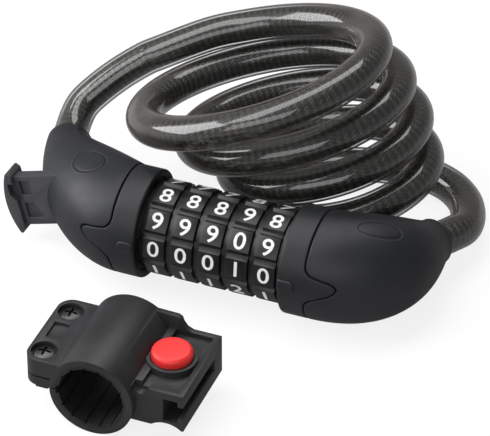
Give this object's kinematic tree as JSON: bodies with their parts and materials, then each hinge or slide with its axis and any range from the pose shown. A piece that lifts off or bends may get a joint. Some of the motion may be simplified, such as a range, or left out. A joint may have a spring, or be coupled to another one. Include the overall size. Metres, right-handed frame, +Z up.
{
  "type": "bicycle cable lock",
  "caption": "Self-coiling cable lock whose dial barrel joins two moulded elbows, with a tube-clamp bracket that takes the lock's rail and lets it go by a push button.",
  "frame": {"origin": "on the floor, under the middle of the lock and its bracket together (bottom centre of their box, the free cable left out)", "axes": "+X along the lock's axis towards the fixed half, +Y away from the reading side, +Z up"},
  "size_m": [0.153, 0.1813, 0.0709],
  "materials": {
    "housing": "satin",
    "collar": "satin",
    "dial": "satin, with white digits",
    "code_ring": "turned",
    "steel": "turned",
    "end_disc": "matt",
    "cable_jacket": "clear vinyl over a dark braid",
    "rail": "moulded",
    "clamp": "fine moulded grain",
    "liner": "ribbed",
    "screw": "blackened",
    "button_red": "satin"
  },
  "bodies": {
    "fixed_half": {"right_cap": "housing", "right_collar": "collar", "right_plug": "housing", "right_cross_pin": "steel", "right_ferrule": "steel", "core_sleeve": "steel", "retaining_ring": "steel", "side_washer": "steel", "cable_coil": "cable_jacket", "cable_lead_left": "cable_jacket", "cable_lead_right": "cable_jacket"},
    "pin_half": {"left_cap": "housing", "left_collar": "collar", "left_plug": "housing", "left_cross_pin": "steel", "left_ferrule": "steel", "locking_pin": "steel", "end_disc": "end_disc", "mount_rail": "rail"},
    "number_dial_1": {"dial_1": "dial", "combination_ring_1": "code_ring"},
    "number_dial_2": {"dial_2": "dial", "combination_ring_2": "code_ring"},
    "number_dial_3": {"dial_3": "dial", "combination_ring_3": "code_ring"},
    "number_dial_4": {"dial_4": "dial", "combination_ring_4": "code_ring"},
    "number_dial_5": {"dial_5": "dial", "combination_ring_5": "code_ring"},
    "bracket": {"clamp_body": "clamp", "clamp_liner": "liner", "clamp_screws": "screw", "clamp_nuts": "steel", "button_spring": "steel"},
    "button": {"release_button": "button_red", "socket_latch": "steel"}
  },
  "joints": [
    {"name": "pin_pull", "type": "slide", "parent": "fixed_half", "child": "pin_half", "axis": [-1, 0, 0], "range_m": [0, 0.055], "deforming": ["cable_lead_left"]},
    {"name": "dial_1_turn", "type": "hinge", "parent": "fixed_half", "child": "number_dial_1", "pos_m": [-0.01524, 0.02408, 0.0194], "axis": [1, 0, 0], "continuous": true},
    {"name": "dial_2_turn", "type": "hinge", "parent": "fixed_half", "child": "number_dial_2", "pos_m": [-0.00554, 0.02408, 0.0194], "axis": [1, 0, 0], "continuous": true},
    {"name": "dial_3_turn", "type": "hinge", "parent": "fixed_half", "child": "number_dial_3", "pos_m": [0.00416, 0.02408, 0.0194], "axis": [1, 0, 0], "continuous": true},
    {"name": "dial_4_turn", "type": "hinge", "parent": "fixed_half", "child": "number_dial_4", "pos_m": [0.01386, 0.02408, 0.0194], "axis": [1, 0, 0], "continuous": true},
    {"name": "dial_5_turn", "type": "hinge", "parent": "fixed_half", "child": "number_dial_5", "pos_m": [0.02356, 0.02408, 0.0194], "axis": [1, 0, 0], "continuous": true},
    {"name": "bracket_lift", "type": "slide", "parent": "fixed_half", "child": "bracket", "axis": [0, 0, 1], "range_m": [0, 0.05]},
    {"name": "button_press", "type": "slide", "parent": "bracket", "child": "button", "axis": [0, 0, -1], "range_m": [0, 0.002], "stiffness_N_per_m": 400, "springref_m": -0.001, "deforming": ["button_spring"]}
  ]
}
